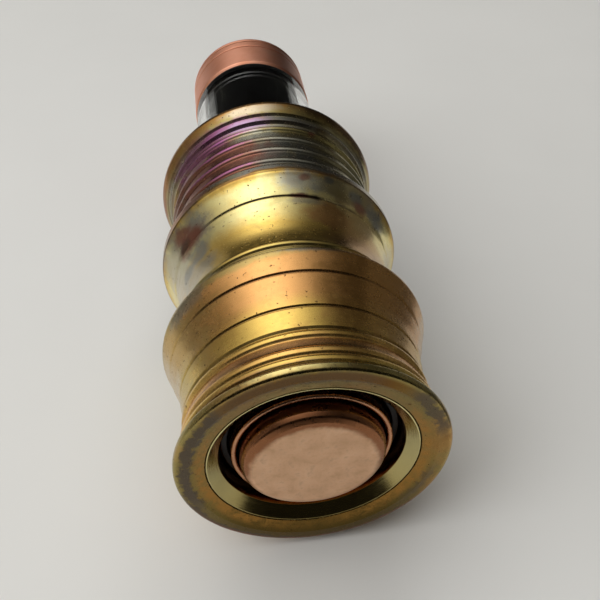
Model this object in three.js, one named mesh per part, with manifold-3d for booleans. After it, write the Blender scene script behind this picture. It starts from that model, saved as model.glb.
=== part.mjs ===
// A pocket vaporiser lying on its side: three turned brass rings on a tube that holds one cell,
// a copper fire button in the flared end, and an atomiser with a clear sleeve and a copper cap.
// Millimetres, +Z up. The device's axis runs along Y, with the button at -Y and the mouthpiece
// at +Y, and the three ring rims touch z = 0. Places along the axis are written as distances
// from the flat rim of the flared end.
import * as THREE from "three";
import { mergeVertices } from "three/addons/utils/BufferGeometryUtils.js";
import Module from "manifold-3d";

const wasm = await Module();
wasm.setup();

// Driving dimensions.
const TOTAL_LENGTH = 102.4;
const RIM_RADIUS = 17.6; // the widest line of each brass ring, which touches the floor
const BELL_RADIUS = 16.5; // the flared end
const ATOMISER_RADIUS = 11.25; // an atomiser of the 22 mm class
const TUBE_INNER = 9.6; // bore of the body tube
const TUBE_OUTER = 11.2;
const CELL_RADIUS = 9.25; // an 18350 cell
const CELL_LENGTH = 35;
const BUTTON_RADIUS = 8.75;
const FIT = 0.3; // gap between neighbouring pieces
const RING_SIDES = 32;
const SIDES = 18;
const SMALL_SIDES = 12;

// Where the main pieces start and end along the axis.
const LOWER_END = 18.7;
const MIDDLE_START = 18.9;
const MIDDLE_END = 37.3;
const UPPER_START = 37.5;
const UPPER_END = 55.4;
const TUBE_START = 9.2;
const TUBE_END = 52.0;
const HOUSING_START = 0.6;
const HOUSING_FLOOR = 8.0; // front of the wall that the contact pin passes through
const HOUSING_BACK = 10.2; // back of that wall
const PIN_HOLE = 2.2; // radius of the hole for the contact pin
const NECK_END = 12.4; // the threaded necks reach into the tube as far as this
const BUTTON_FACE = 0.05;
const BUTTON_BACK = 4.6;
const SPRING_FRONT = 2.9;
const SPRING_BACK = 6.6;
const CELL_START = 12.85;
const CELL_END = CELL_START + CELL_LENGTH;
const PLATE_END = 55.3; // upper face of the connector plate
const BASE_START = 55.7;
const AIR_START = 57.9; // the airflow ring's lower edge
const AIR_END = 62.0;
const SLEEVE_START = 65.0;
const SLEEVE_END = 83.0;
const DECK_START = 64.7;
const DECK_TOP = 67.0;
const POST_OFFSET = 4.7; // each post's distance from the axis
const WICK_REACH = 4.6; // each end of the wick's distance from the axis
const COIL_HEIGHT = 3.1; // the coil's axis above the deck
const COLLAR_START = 83.5;
const COLLAR_END = 90.6;
const CAP_START = 90.9;
const CAP_END = 94.4;
const PLUG_SEAL = 91.6; // centre of the seal on the mouthpiece's plug

const group = new THREE.Group();

const finishes = {
  brass: { color: 0xc9a24a, metalness: 1, roughness: 0.3 },
  copper: { color: 0xc47a58, metalness: 1, roughness: 0.38 },
  steel: { color: 0xb9bcc0, metalness: 1, roughness: 0.3 },
  blackPlastic: { color: 0x161616, metalness: 0, roughness: 0.5 },
  blackGloss: { color: 0x0c0d0e, metalness: 0, roughness: 0.12 },
  clear: { color: 0xe8ecec, metalness: 0, roughness: 0.05, transparent: true, opacity: 0.3 },
  rubber: { color: 0x1c1b1a, metalness: 0, roughness: 0.7 },
  wrap: { color: 0x8a2f86, metalness: 0, roughness: 0.45 },
  cotton: { color: 0xe9e4d8, metalness: 0, roughness: 0.95 },
};

function finish(name) {
  return new THREE.MeshStandardMaterial({ name, ...finishes[name] });
}

// Adds one named piece, keeping only the positions of its geometry.
function addPiece(name, material, geometry) {
  geometry.deleteAttribute("normal");
  geometry.deleteAttribute("uv");
  const mesh = new THREE.Mesh(mergeVertices(geometry, 1e-4), finish(material));
  mesh.name = name;
  group.add(mesh);
}

// Revolves an outline about Y, closing it unless it starts and ends on the axis. Each point is
// [radius, distance from the bell's rim]. The flats of the many-sided solid lie at the stated
// radius, and one of them faces straight down.
function turned(outline, sides = SIDES) {
  const toCorner = 1 / Math.cos(Math.PI / sides);
  const points = outline.map(([radius, along]) => new THREE.Vector2(radius * toCorner, along));
  const startsOnAxis = outline[0][0] === 0;
  if (!startsOnAxis) points.push(points[0].clone());
  const geometry = new THREE.LatheGeometry(points, sides, Math.PI / sides);
  geometry.translate(0, -TOTAL_LENGTH / 2, RIM_RADIUS);
  return geometry;
}

// A plain sleeve, or a washer when it is short.
function sleeve(inner, outer, start, end, sides = SIDES) {
  const outline = [
    [outer, start],
    [outer, end],
    [inner, end],
    [inner, start],
  ];
  return turned(outline, sides);
}

// A seal ring of round section.
function sealRing(radius, section, centre) {
  const corners = 6;
  const outline = [];
  for (let i = 0; i < corners; i++) {
    const turn = (2 * Math.PI * i) / corners;
    outline.push([radius + section * Math.cos(turn), centre + section * Math.sin(turn)]);
  }
  return turned(outline);
}

// A rod or screw that lies along the axis, beside it by x and z.
function axialRod(radius, start, end, x = 0, z = 0, sides = SMALL_SIDES) {
  const geometry = new THREE.CylinderGeometry(radius, radius, end - start, sides);
  geometry.translate(x, (start + end) / 2 - TOTAL_LENGTH / 2, RIM_RADIUS + z);
  return geometry;
}

function box(width, length, height, x, along, z) {
  const geometry = new THREE.BoxGeometry(width, length, height);
  geometry.translate(x, along - TOTAL_LENGTH / 2, RIM_RADIUS + z);
  return geometry;
}

// A ridge standing out of a turned face, as outline points.
function ridge(centre, width, base, height) {
  return [
    [base, centre - width * 0.75],
    [base + height, centre - width / 2],
    [base + height, centre + width / 2],
    [base, centre + width * 0.75],
  ];
}

// A narrow groove cut into a turned face, as outline points.
function groove(centre, width, surface, depth) {
  return [
    [surface, centre - width],
    [surface - depth, centre - width / 2],
    [surface - depth, centre + width / 2],
    [surface, centre + width],
  ];
}

function toManifold(geometry) {
  const plain = geometry.clone();
  plain.deleteAttribute("normal");
  plain.deleteAttribute("uv");
  const merged = mergeVertices(plain, 1e-3);
  const mesh = new wasm.Mesh({
    numProp: 3,
    vertProperties: merged.attributes.position.array,
    triVerts: new Uint32Array(merged.index.array),
  });
  return new wasm.Manifold(mesh);
}

function fromManifold(solid) {
  const mesh = solid.getMesh();
  const geometry = new THREE.BufferGeometry();
  geometry.setAttribute("position", new THREE.BufferAttribute(mesh.vertProperties, 3));
  geometry.setIndex(new THREE.BufferAttribute(mesh.triVerts, 1));
  return geometry;
}

// Cuts every tool out of the blank.
function cut(blank, tools) {
  let solid = toManifold(blank);
  for (const tool of tools) solid = solid.subtract(toManifold(tool));
  return fromManifold(solid);
}

// A round wire wound about the device's axis, or about a cross line when it is turned.
function winding(radius, wire, start, end, turns, stepsPerTurn, corners) {
  class Helix extends THREE.Curve {
    getPoint(t, target = new THREE.Vector3()) {
      const turn = 2 * Math.PI * turns * t;
      const along = start + (end - start) * t;
      return target.set(radius * Math.cos(turn), along, radius * Math.sin(turn));
    }
  }
  const section = new THREE.Shape();
  for (let i = 0; i < corners; i++) {
    const turn = (2 * Math.PI * i) / corners;
    const move = i === 0 ? "moveTo" : "lineTo";
    section[move](wire * Math.cos(turn), wire * Math.sin(turn));
  }
  const steps = Math.round(turns * stepsPerTurn);
  const options = { steps, extrudePath: new Helix(), bevelEnabled: false };
  return new THREE.ExtrudeGeometry(section, options);
}

// The brass rings.
function lowerRing() {
  const counterbore = 13.0;
  const counterboreEnd = 6.6;
  const outline = [
    [BELL_RADIUS - 0.4, 0],
    [BELL_RADIUS, 0.4],
    [16.4, 0.9],
    [15.6, 1.5],
    ...ridge(2.3, 0.8, 15.5, 0.35),
    ...ridge(3.9, 0.8, 15.2, 0.35),
    ...ridge(6.6, 0.7, 15.05, 0.3),
    [15.0, 7.5],
    [15.15, 7.8],
    ...groove(10.7, 0.4, 15.45, 0.3),
    ...groove(15.4, 0.4, 16.55, 0.35),
    [RIM_RADIUS, 18.0],
    [RIM_RADIUS, LOWER_END - 0.3],
    [RIM_RADIUS - 0.3, LOWER_END],
    [TUBE_OUTER + FIT, LOWER_END],
    [TUBE_OUTER + FIT, counterboreEnd],
    [counterbore, counterboreEnd],
    [counterbore, HOUSING_START],
    [BELL_RADIUS - 1.8, 0],
  ];
  return turned(outline, RING_SIDES);
}

function middleRing() {
  const outline = [
    [15.3, MIDDLE_START],
    ...ridge(22.4, 0.6, 15.25, 0.35),
    [14.95, 25.0],
    [14.95, 27.5],
    [15.3, 30.5],
    ...groove(32.2, 0.4, 15.7, 0.35),
    [16.9, 34.6],
    [RIM_RADIUS, 35.8],
    [RIM_RADIUS, MIDDLE_END - 0.2],
    [RIM_RADIUS - 0.2, MIDDLE_END],
    [TUBE_OUTER + FIT, MIDDLE_END],
    [TUBE_OUTER + FIT, MIDDLE_START],
  ];
  return turned(outline, RING_SIDES);
}

function upperRing() {
  const mouth = 13.0;
  const mouthFloor = 52.4;
  const firstRidge = 41.2;
  const ridgeStep = 3;
  const ridges = [];
  for (let i = 0; i < 4; i++) ridges.push(...ridge(firstRidge + i * ridgeStep, 0.6, 15.6, 0.35));
  const outline = [
    [15.9, UPPER_START],
    [15.9, 39.4],
    [15.65, 39.8],
    ...ridges,
    [15.75, 51.6],
    [16.3, 52.0],
    [16.4, 52.8],
    [16.9, 53.1],
    [RIM_RADIUS, 54.5],
    [RIM_RADIUS, UPPER_END - 0.3],
    [RIM_RADIUS - 0.3, UPPER_END],
    [mouth, UPPER_END],
    [mouth, mouthFloor],
    [TUBE_OUTER + FIT, mouthFloor],
    [TUBE_OUTER + FIT, UPPER_START],
  ];
  return turned(outline, RING_SIDES);
}

// The button end. The housing's mouth is a cone around the button.
function switchHousing() {
  const flange = 12.7;
  const bore = 11.1;
  const coneBack = 1.9;
  const outline = [
    [flange, HOUSING_START],
    [flange, 6.2],
    [TUBE_OUTER, 6.2],
    [TUBE_OUTER, 8.2],
    [TUBE_INNER - FIT, 8.2],
    [TUBE_INNER - FIT, NECK_END],
    [6.5, NECK_END],
    [6.5, HOUSING_BACK],
    [PIN_HOLE, HOUSING_BACK],
    [PIN_HOLE, HOUSING_FLOOR],
    [bore, HOUSING_FLOOR],
    [bore, coneBack + 0.6],
    [bore + 0.15, coneBack],
    [flange - 0.15, HOUSING_START],
  ];
  return turned(outline, RING_SIDES);
}

function switchInsulator() {
  const outer = 10.8;
  const inner = 10.05;
  const front = 4.0;
  const outline = [
    [outer, front],
    [outer, HOUSING_FLOOR - FIT],
    [PIN_HOLE, HOUSING_FLOOR - FIT],
    [PIN_HOLE, SPRING_BACK + FIT],
    [inner, SPRING_BACK + FIT],
    [inner, front],
  ];
  return turned(outline, RING_SIDES);
}

// A hollow cap with a rounded shoulder, and a boss for the contact pin behind its face.
function fireButton() {
  const cavity = 7.2;
  const boss = 3.0;
  const bossHole = 1.9;
  const faceBack = 2.6;
  const outline = [
    [0, BUTTON_FACE],
    [BUTTON_RADIUS - 1.45, BUTTON_FACE],
    [BUTTON_RADIUS - 0.65, BUTTON_FACE + 0.3],
    [BUTTON_RADIUS - 0.2, BUTTON_FACE + 0.85],
    [BUTTON_RADIUS, BUTTON_FACE + 1.55],
    [BUTTON_RADIUS, BUTTON_BACK],
    [cavity, BUTTON_BACK],
    [cavity, faceBack],
    [boss, faceBack],
    [boss, BUTTON_BACK],
    [bossHole, BUTTON_BACK],
    [bossHole, 3.0],
    [0, 3.0],
  ];
  return turned(outline, RING_SIDES);
}

function buttonSpring() {
  const wire = 0.3;
  const turns = 2.5;
  const geometry = winding(5.2, wire, SPRING_FRONT + wire, SPRING_BACK - wire, turns, 12, 6);
  geometry.translate(0, -TOTAL_LENGTH / 2, RIM_RADIUS);
  return geometry;
}

function contactPin() {
  const shank = 1.6;
  const head = 3.4;
  const front = 3.3;
  const back = 11.3;
  const outline = [
    [0, front],
    [shank, front],
    [shank, HOUSING_BACK + FIT],
    [head, HOUSING_BACK + FIT],
    [head, back],
    [0, back],
  ];
  return turned(outline);
}

// The cell, with its negative end towards the button.
function cellCan() {
  return axialRod(CELL_RADIUS - 0.35, CELL_START, CELL_END - 1.5, 0, 0, SIDES);
}

function cellPositiveCap() {
  return axialRod(3.0, CELL_END - 1.2, CELL_END, 0, 0, SIDES);
}

// The plate in the top of the body that the atomiser screws into.
function connectorPlate() {
  const flange = 12.7;
  const thread = 3.5;
  const neckStart = 49.2;
  const outline = [
    [TUBE_INNER - FIT, neckStart],
    [TUBE_INNER - FIT, TUBE_END + 0.7],
    [flange, TUBE_END + 0.7],
    [flange, PLATE_END],
    [thread, PLATE_END],
    [thread, neckStart],
  ];
  return turned(outline);
}

function centrePin() {
  const outline = [
    [0, CELL_END + FIT],
    [2.4, CELL_END + FIT],
    [2.4, 48.8],
    [1.3, 48.8],
    [1.3, 52.9],
    [0, 52.9],
  ];
  return turned(outline);
}

// The atomiser's base, with the stub that screws into the body.
function atomiserBase() {
  const stub = 3.15;
  const stubStart = 53.3;
  const bore = 1.9;
  const outline = [
    [stub, stubStart],
    [stub, BASE_START],
    [ATOMISER_RADIUS - 0.3, BASE_START],
    [ATOMISER_RADIUS, BASE_START + 0.4],
    [ATOMISER_RADIUS, AIR_START - FIT],
    [bore, AIR_START - FIT],
    [bore, stubStart],
  ];
  return turned(outline);
}

// One bar that cuts an air slot through both sides of the airflow ring or of its neck.
function airSlots() {
  const slotWidth = 1.8;
  const slotHeight = 3.6;
  const across = 24;
  return box(across, slotWidth, slotHeight, 0, (AIR_START + AIR_END) / 2, 0);
}

// The neck that the airflow ring turns on, with the flange under the clear sleeve.
function airChamber() {
  const neck = 9.0;
  const plenum = 5.0;
  const throat = 1.5;
  const outline = [
    [neck, AIR_START],
    [neck, AIR_END + FIT],
    [ATOMISER_RADIUS, AIR_END + FIT],
    [ATOMISER_RADIUS, SLEEVE_START - 0.9],
    [throat, SLEEVE_START - 0.9],
    [throat, AIR_END],
    [plenum, AIR_END - 0.6],
    [plenum, AIR_START],
  ];
  return cut(turned(outline), [airSlots()]);
}

function airflowRing() {
  const bore = 9.3;
  return cut(sleeve(bore, ATOMISER_RADIUS, AIR_START, AIR_END), [airSlots()]);
}

// The build deck, with an air hole, and a well for each end of the wick.
function deck() {
  const radius = 7.3;
  const airHole = 1.4;
  const blank = sleeve(airHole, radius, DECK_START, DECK_TOP);
  const wellSize = [3.2, 5, 2.2];
  const wells = [-1, 1].map((side) => box(...wellSize, side * WICK_REACH, DECK_TOP, 0));
  const postHole = axialRod(2.15, DECK_START - 1, DECK_TOP + 1, 0, POST_OFFSET);
  return cut(blank, [...wells, postHole]);
}

// A post with a cross hole for the end of the coil.
function post(side, foot) {
  const height = 5.2;
  const blank = axialRod(1.4, foot, DECK_TOP + height, 0, side * POST_OFFSET);
  const hole = 0.9;
  const leadHole = box(4, hole, hole, 0, DECK_TOP + COIL_HEIGHT, side * POST_OFFSET);
  return cut(blank, [leadHole]);
}

// The positive post stands in this sleeve, clear of the deck.
function postInsulator() {
  const blank = axialRod(1.95, DECK_START, DECK_TOP + 0.4, 0, POST_OFFSET);
  const hole = axialRod(1.5, DECK_START - 1, DECK_TOP + 1, 0, POST_OFFSET);
  return cut(blank, [hole]);
}

function postScrew(side) {
  return axialRod(1.1, DECK_TOP + 5.5, DECK_TOP + 6.7, 0, side * POST_OFFSET, 8);
}

// The coil's axis runs across the deck, along X.
function coil() {
  const radius = 1.5;
  const wire = 0.22;
  const reach = 2.6;
  const geometry = winding(radius, wire, -reach, reach, 5, 9, 5);
  geometry.rotateZ(-Math.PI / 2);
  geometry.translate(0, DECK_TOP + COIL_HEIGHT - TOTAL_LENGTH / 2, RIM_RADIUS);
  return geometry;
}

// Cotton through the coil, with its two tails bent down towards the wells.
function wick() {
  const inCoil = 2.8;
  const half = [
    [inCoil, COIL_HEIGHT],
    [WICK_REACH - 0.3, 2.2],
    [WICK_REACH, 0.6],
  ];
  const left = half.map(([x, along]) => new THREE.Vector3(-x, along, 0)).reverse();
  const right = half.map(([x, along]) => new THREE.Vector3(x, along, 0));
  const path = new THREE.CatmullRomCurve3([...left, ...right]);
  const section = new THREE.Shape();
  section.absarc(0, 0, 1.0, 0, 2 * Math.PI);
  const options = { steps: 16, curveSegments: 4, extrudePath: path, bevelEnabled: false };
  const geometry = new THREE.ExtrudeGeometry(section, options);
  geometry.translate(0, DECK_TOP - TOTAL_LENGTH / 2, RIM_RADIUS);
  return geometry;
}

// The black shell over the coil, closed at the top but for the vapour hole.
function chamberShell() {
  const outer = 9.05;
  const wall = 0.8;
  const top = 86.6;
  const hole = 2.6;
  const outline = [
    [outer, DECK_START],
    [outer, top],
    [hole, top],
    [hole, top - 1],
    [outer - wall, top - 1],
    [outer - wall, DECK_START],
  ];
  return turned(outline, RING_SIDES);
}

// The collar that clamps the top of the sleeve and carries the cap's thread. Its lower lip is
// bevelled.
function topCollar() {
  const bore = 9.4;
  const bevel = 0.4;
  const outline = [
    [ATOMISER_RADIUS - bevel, COLLAR_START],
    [ATOMISER_RADIUS, COLLAR_START + bevel],
    [ATOMISER_RADIUS, COLLAR_END],
    [bore, COLLAR_END],
    [bore, COLLAR_START],
  ];
  return turned(outline, RING_SIDES);
}

function topCap() {
  const neck = 9.05;
  const bore = 4.4;
  const neckStart = 87.6;
  const outline = [
    [neck, neckStart],
    [neck, CAP_START],
    [ATOMISER_RADIUS, CAP_START],
    ...groove(93.0, 0.3, ATOMISER_RADIUS, 0.3),
    [ATOMISER_RADIUS, CAP_END - 0.5],
    [ATOMISER_RADIUS - 0.5, CAP_END],
    [bore, CAP_END],
    [bore, neckStart],
  ];
  return turned(outline, RING_SIDES);
}

// The mouthpiece: a plug in the cap, and a waisted tip.
function mouthpiece() {
  const bore = 3.2;
  const plug = 4.0;
  const plugStart = 89.2;
  const outline = [
    [plug, plugStart],
    [plug, PLUG_SEAL - 0.4],
    [plug - 0.35, PLUG_SEAL - 0.4],
    [plug - 0.35, PLUG_SEAL + 0.4],
    [plug, PLUG_SEAL + 0.4],
    [plug, CAP_END + FIT],
    [5.75, CAP_END + FIT],
    [5.75, 96.0],
    [5.0, 98.4],
    [5.3, 101.0],
    [5.1, TOTAL_LENGTH - 0.5],
    [4.5, TOTAL_LENGTH],
    [3.5, TOTAL_LENGTH],
    [bore, TOTAL_LENGTH - 0.4],
    [bore, plugStart],
  ];
  return turned(outline);
}

addPiece("lower_ring", "brass", lowerRing());
addPiece("middle_ring", "brass", middleRing());
addPiece("upper_ring", "brass", upperRing());
addPiece("body_tube", "copper", sleeve(TUBE_INNER, TUBE_OUTER, TUBE_START, TUBE_END));
addPiece("switch_housing", "brass", switchHousing());
addPiece("switch_insulator", "blackPlastic", switchInsulator());
addPiece("button_bush", "copper", sleeve(9.05, 9.75, 2.1, SPRING_BACK, RING_SIDES));
addPiece("fire_button", "copper", fireButton());
addPiece("button_spring", "steel", buttonSpring());
addPiece("contact_pin", "brass", contactPin());
addPiece("switch_seal", "rubber", sealRing(10.4, 0.25, 8.7));
addPiece("cell_can", "steel", cellCan());
addPiece("cell_wrap", "wrap", sleeve(CELL_RADIUS - 0.2, CELL_RADIUS, CELL_START, CELL_END - 1.2));
addPiece("cell_gasket", "blackPlastic", sleeve(3.4, 8.7, CELL_END - 1.3, CELL_END - 0.9));
addPiece("cell_positive_cap", "steel", cellPositiveCap());
addPiece("connector_plate", "brass", connectorPlate());
addPiece("connector_insulator", "blackPlastic", sleeve(1.6, 3.2, 49.1, 52.6));
addPiece("centre_pin", "copper", centrePin());
addPiece("atomiser_base", "steel", atomiserBase());
addPiece("base_pin_insulator", "blackPlastic", sleeve(1.25, 1.6, 53.6, 57.2, SMALL_SIDES));
addPiece("base_pin", "brass", axialRod(0.95, 53.2, 63.0));
addPiece("air_chamber", "steel", airChamber());
addPiece("airflow_ring", "steel", airflowRing());
addPiece("deck", "steel", deck());
addPiece("positive_post", "steel", post(1, DECK_START));
addPiece("negative_post", "steel", post(-1, DECK_TOP + FIT));
addPiece("post_insulator", "blackPlastic", postInsulator());
addPiece("positive_post_screw", "steel", postScrew(1));
addPiece("negative_post_screw", "steel", postScrew(-1));
addPiece("coil", "steel", coil());
addPiece("wick", "cotton", wick());
addPiece("chamber_shell", "blackGloss", chamberShell());
addPiece("lower_sleeve_seal", "rubber", sealRing(10.15, 0.3, 64.55));
addPiece("clear_sleeve", "clear", sleeve(9.4, 11.1, SLEEVE_START, SLEEVE_END, RING_SIDES));
addPiece("upper_sleeve_seal", "rubber", sleeve(9.45, 10.75, SLEEVE_END + 0.1, COLLAR_START - 0.1));
addPiece("top_collar", "copper", topCollar());
addPiece("cap_seal", "rubber", sealRing(7.4, 0.3, 87.1));
addPiece("top_cap", "copper", topCap());
addPiece("mouthpiece", "blackPlastic", mouthpiece());
addPiece("mouthpiece_seal", "rubber", sealRing(4.02, 0.28, PLUG_SEAL));

export default group;
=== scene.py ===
"""The looks of a pocket vaporiser lying on its side on a pale floor.

Outlines are lists of (radius, place along the axis, edge rounding) in millimetres. Places along
the axis are distances from the flat lip of the flared end. The axis and that lip come from the
frame's own boxes, and so do the ends of the plain pieces.
"""

import math

import bpy
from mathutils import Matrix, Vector


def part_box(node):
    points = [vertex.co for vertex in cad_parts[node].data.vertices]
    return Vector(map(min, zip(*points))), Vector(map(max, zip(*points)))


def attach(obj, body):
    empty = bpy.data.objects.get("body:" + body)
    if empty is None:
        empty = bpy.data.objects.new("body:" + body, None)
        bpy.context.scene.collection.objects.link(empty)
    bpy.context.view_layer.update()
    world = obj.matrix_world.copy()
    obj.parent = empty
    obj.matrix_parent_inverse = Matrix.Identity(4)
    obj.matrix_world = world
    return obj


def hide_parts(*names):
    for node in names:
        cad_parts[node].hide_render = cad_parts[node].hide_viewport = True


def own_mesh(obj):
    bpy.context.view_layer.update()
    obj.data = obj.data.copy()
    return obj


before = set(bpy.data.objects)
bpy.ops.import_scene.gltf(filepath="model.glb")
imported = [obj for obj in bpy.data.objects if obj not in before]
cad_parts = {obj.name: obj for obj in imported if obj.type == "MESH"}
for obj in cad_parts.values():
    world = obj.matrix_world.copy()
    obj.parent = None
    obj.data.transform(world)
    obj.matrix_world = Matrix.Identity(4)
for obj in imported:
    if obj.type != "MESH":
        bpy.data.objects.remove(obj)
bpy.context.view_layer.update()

MM = 0.001
BELL_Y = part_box("lower_ring")[0].y
AXIS_Z = (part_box("lower_ring")[0].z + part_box("lower_ring")[1].z) / 2
RIM = (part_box("lower_ring")[1].z - AXIS_Z) / MM
TOTAL = (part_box("mouthpiece")[1].y - BELL_Y) / MM

EDGE = 0.12  # rounding of a plain edge
ARC_STEP = math.radians(14)  # the most that one step of a rounded edge turns
CURVE_STEPS = 6  # between two points of a smooth line
WIRE_STEPS = 36  # in a turn of a coil


def along(node):
    """Where a CAD node starts and ends along the axis."""
    low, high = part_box(node)
    return (low.y - BELL_Y) / MM, (high.y - BELL_Y) / MM


# ---------------------------------------------------------------- outlines and turned pieces


def rounded(points, closed):
    """The outline with an arc at each corner."""
    out = []
    count = len(points)
    for i, point in enumerate(points):
        here = Vector(point[:2])
        radius = point[2] if len(point) > 2 else EDGE
        if radius == 0 or (not closed and i in (0, count - 1)):
            out.append(here)
            continue
        before = Vector(points[i - 1][:2]) - here
        after = Vector(points[(i + 1) % count][:2]) - here
        room = 0.48 * min(before.length, after.length)
        half = before.angle(after) / 2
        bend = math.pi - 2 * half
        if bend < math.radians(3):
            out.append(here)
            continue
        before.normalize()
        after.normalize()
        reach = min(radius / math.tan(half), room)
        radius = reach * math.tan(half)
        centre = here + (before + after).normalized() * (reach / math.cos(half))
        first = here + before * reach - centre
        last = here + after * reach - centre
        start = math.atan2(first.y, first.x)
        sweep = math.atan2(last.y, last.x) - start
        sweep = (sweep + math.pi) % (2 * math.pi) - math.pi
        steps = max(2, math.ceil(bend / ARC_STEP))
        for k in range(steps + 1):
            angle = start + sweep * k / steps
            out.append(centre + radius * Vector((math.cos(angle), math.sin(angle))))
    return out


def curve(*points):
    """A smooth line through the points, as outline points with no rounding of their own."""
    known = [Vector(p) for p in points]
    known = [2 * known[0] - known[1], *known, 2 * known[-1] - known[-2]]
    out = []
    for a, b, c, d in zip(known, known[1:], known[2:], known[3:]):
        for k in range(CURVE_STEPS):
            t = k / CURVE_STEPS
            spot = (
                2 * b + (c - a) * t + (2 * a - 5 * b + 4 * c - d) * t * t
                + (3 * b - a - 3 * c + d) * t**3
            ) / 2
            out.append((spot.x, spot.y, 0))
    out.append((*points[-1], 0))
    return out


def bead(centre, width, base, height):
    """A rounded ridge standing out of a turned face."""
    out = [(base, centre - width * 0.75, 0.1)]
    for k in range(7):
        angle = math.pi * k / 6
        out.append(
            (base + height * (0.45 + 0.55 * math.sin(angle)), centre - width / 2 * math.cos(angle), 0)
        )
    out.append((base, centre + width * 0.75, 0.1))
    return out


def groove(centre, width, surface, depth):
    """A narrow rounded groove cut into a turned face."""
    return [
        (surface, centre - width, 0.15),
        (surface - depth, centre - width * 0.35, 0.15),
        (surface - depth, centre + width * 0.35, 0.15),
        (surface, centre + width, 0.15),
    ]


def profile_normals(points, closed):
    """The outward normal at each outline point, weighted by the length of the two sides there."""
    out = []
    count = len(points)
    for i, here in enumerate(points):
        total = Vector((0, 0))
        if closed or i > 0:
            step = here - points[i - 1]
            total += Vector((step.y, -step.x))
        if closed or i < count - 1:
            step = points[(i + 1) % count] - here
            total += Vector((step.y, -step.x))
        out.append(total.normalized())
    return out


def turned_mesh(name, outline, sides):
    """A mesh revolved about the axis. An outline that starts at radius 0 also ends there."""
    closed = outline[0][0] > 0
    points = rounded(outline, closed)
    normals = profile_normals(points, closed)
    verts, vert_normals, rings = [], [], []
    for here, normal in zip(points, normals):
        on_axis = here.x < 1e-6
        ring = []
        for j in range(1 if on_axis else sides):
            angle = 2 * math.pi * j / sides
            spread = Vector((math.cos(angle), 0, math.sin(angle)))
            ring.append(len(verts))
            verts.append(
                Vector((0, BELL_Y, AXIS_Z)) + MM * (here.x * spread + Vector((0, here.y, 0)))
            )
            vert_normals.append(
                Vector((0, math.copysign(1, normal.y), 0)) if on_axis
                else normal.x * spread + Vector((0, normal.y, 0))
            )
        rings.append(ring * sides if on_axis else ring)
    faces = []
    pairs = list(zip(rings, rings[1:] + rings[:1])) if closed else list(zip(rings, rings[1:]))
    for one, two in pairs:
        for j in range(sides):
            k = (j + 1) % sides
            face = [one[j], two[j], two[k], one[k]]
            faces.append([v for n, v in enumerate(face) if v not in face[:n]])
    mesh = bpy.data.meshes.new(name)
    mesh.from_pydata(verts, [], faces)
    mesh.shade_smooth()
    mesh.normals_split_custom_set_from_vertices(vert_normals)
    return mesh


def show(name, mesh, body, material, slot, *nodes):
    """Puts a finished mesh in the scene, riding on its body and standing for CAD nodes."""
    piece = bpy.data.objects.new(name, mesh)
    bpy.context.scene.collection.objects.link(piece)
    mesh.materials.append(material)
    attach(piece, body)
    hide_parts(*nodes)
    return piece


def turned(name, outline, body, material, slot, *nodes, sides=96):
    """Puts a turned piece in the scene."""
    return show(name, turned_mesh(name, outline, sides), body, material, slot, *nodes)


def sleeve(inner, outer, start, end, edge=EDGE):
    """The outline of a plain tube."""
    return [(outer, start, edge), (outer, end, edge), (inner, end, edge), (inner, start, edge)]


def rod(radius, start, end, start_edge, end_edge):
    """The outline of a plain solid cylinder."""
    return [(0, start), (radius, start, start_edge), (radius, end, end_edge), (0, end)]


def seal_outline(radius, section, centre):
    """The round section of a sealing ring."""
    corners = 16
    angles = [2 * math.pi * i / corners for i in range(corners)]
    return [
        (radius + section * math.cos(angle), centre + section * math.sin(angle), 0)
        for angle in angles
    ]


# ---------------------------------------------------------------- node wiring


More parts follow.
